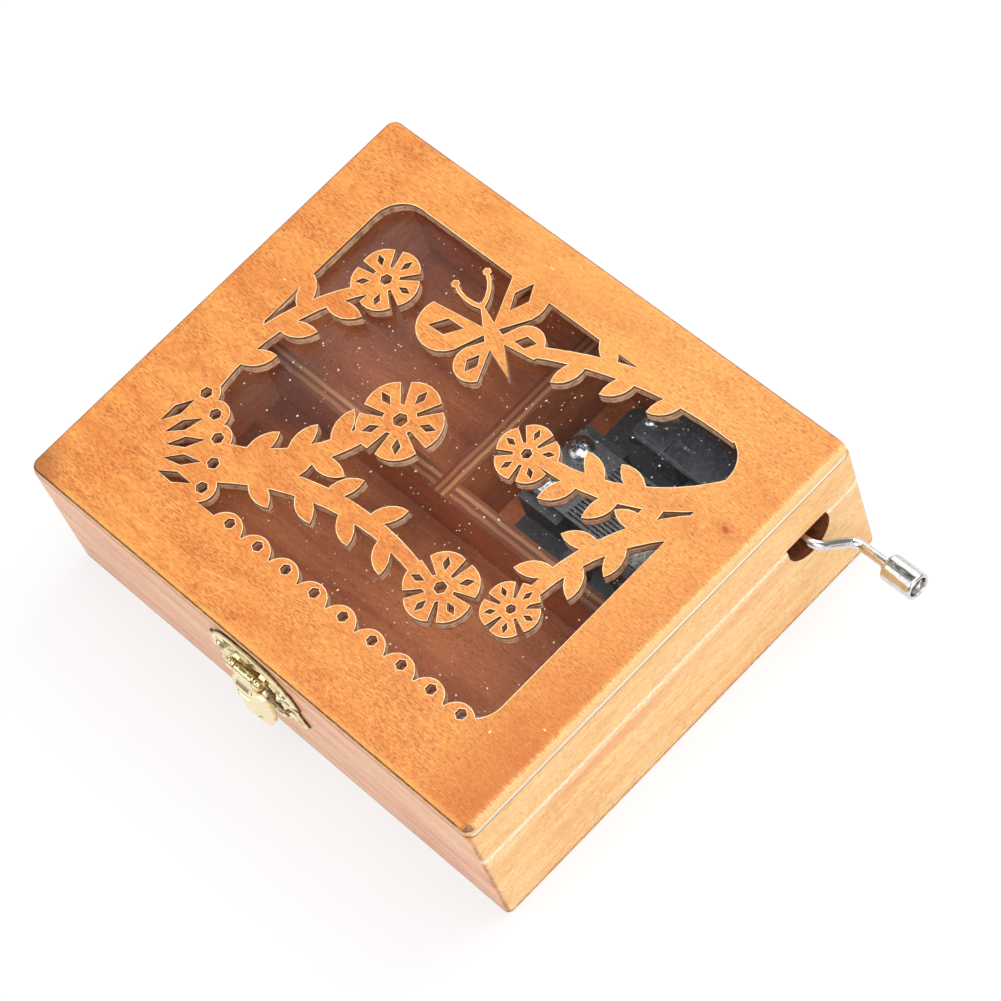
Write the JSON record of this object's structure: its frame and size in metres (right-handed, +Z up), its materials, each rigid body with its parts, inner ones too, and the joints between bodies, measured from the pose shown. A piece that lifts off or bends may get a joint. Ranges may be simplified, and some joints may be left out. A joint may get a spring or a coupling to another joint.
{
  "type": "hand-cranked wooden music box",
  "caption": "Rectangular wooden box with a hinged fretwork lid over a clear pane, a front latch, inner dividers and a hand-cranked comb movement.",
  "frame": {"origin": "centre of the case's footprint, on the underside of the bottom board", "axes": "+X to the crank side, -Y to the latch side, +Z up"},
  "size_m": [0.1679, 0.1273, 0.042],
  "materials": {
    "stained_pine": "satin lacquer over orange-brown stain",
    "stained_plywood": "satin lacquer over orange-brown stain",
    "clear_plastic": "clear, glossy",
    "brass": "polished, slightly worn",
    "antique_brass": "pressed sheet, antique gold",
    "plated_steel": "nickel plated",
    "chrome": "polished",
    "steel": "ground",
    "dark_steel": "blackened",
    "resin": "cast, dull brown",
    "lead": "dull grey",
    "dark_cast_metal": "dark grey, cast",
    "black_plastic": "moulded, satin"
  },
  "bodies": {
    "box": {"case_front_wall": "stained_pine", "case_back_wall": "stained_pine", "case_left_wall": "stained_pine", "case_right_wall": "stained_pine", "bottom_board": "stained_plywood", "long_divider": "stained_plywood", "short_divider": "stained_plywood", "hinge_left_case_leaf": "brass", "hinge_left_pin": "brass", "hinge_right_case_leaf": "brass", "hinge_right_pin": "brass", "hinge_case_screws": "brass", "latch_case_plate": "antique_brass", "latch_case_nails": "antique_brass", "comb": "steel", "comb_weights": "lead", "comb_screws": "chrome", "movement_base": "dark_cast_metal", "movement_screws": "plated_steel", "worm_housing": "black_plastic", "housing_screws": "dark_steel"},
    "lid": {"lid_front_rail": "stained_pine", "lid_back_rail": "stained_pine", "lid_left_rail": "stained_pine", "lid_right_rail": "stained_pine", "fretwork_panel": "stained_plywood", "clear_pane": "clear_plastic", "hinge_left_lid_leaf": "brass", "hinge_right_lid_leaf": "brass", "hinge_lid_screws": "brass", "latch_lid_plate": "antique_brass", "latch_lid_nails": "antique_brass", "latch_pin": "antique_brass"},
    "hasp": {"latch_hasp": "antique_brass"},
    "crank": {"crank_wire": "plated_steel", "worm": "steel"},
    "knob": {"knob_sleeve": "chrome"},
    "cylinder": {"cylinder_barrel": "chrome", "cylinder_pins": "steel", "cylinder_core": "resin", "cylinder_arbor": "steel", "worm_wheel": "brass"}
  },
  "joints": [
    {"name": "lid_hinge", "type": "hinge", "parent": "box", "child": "lid", "pos_m": [0, 0.06095, 0.02707], "axis": [-1, 0, 0], "range_deg": [0, 110]},
    {"name": "hasp_hinge", "type": "hinge", "parent": "lid", "child": "hasp", "pos_m": [0.0008, -0.06165, 0.0316], "axis": [-1, 0, 0], "range_deg": [0, 120]},
    {"name": "crank_turn", "type": "hinge", "parent": "box", "child": "crank", "pos_m": [0.0743, 0.0424, 0.023], "axis": [1, 0, 0], "continuous": true},
    {"name": "knob_spin", "type": "hinge", "parent": "crank", "child": "knob", "pos_m": [0.091, 0.051, 0.0158], "axis": [1, 0, 0], "continuous": true},
    {"name": "cylinder_turn", "type": "hinge", "parent": "box", "child": "cylinder", "pos_m": [0.0423, 0.0243, 0.0135], "axis": [0, 1, 0], "continuous": true}
  ],
  "couplings": [
    {"joint": "cylinder_turn", "follows": "crank_turn", "ratio": -0.041667}
  ]
}
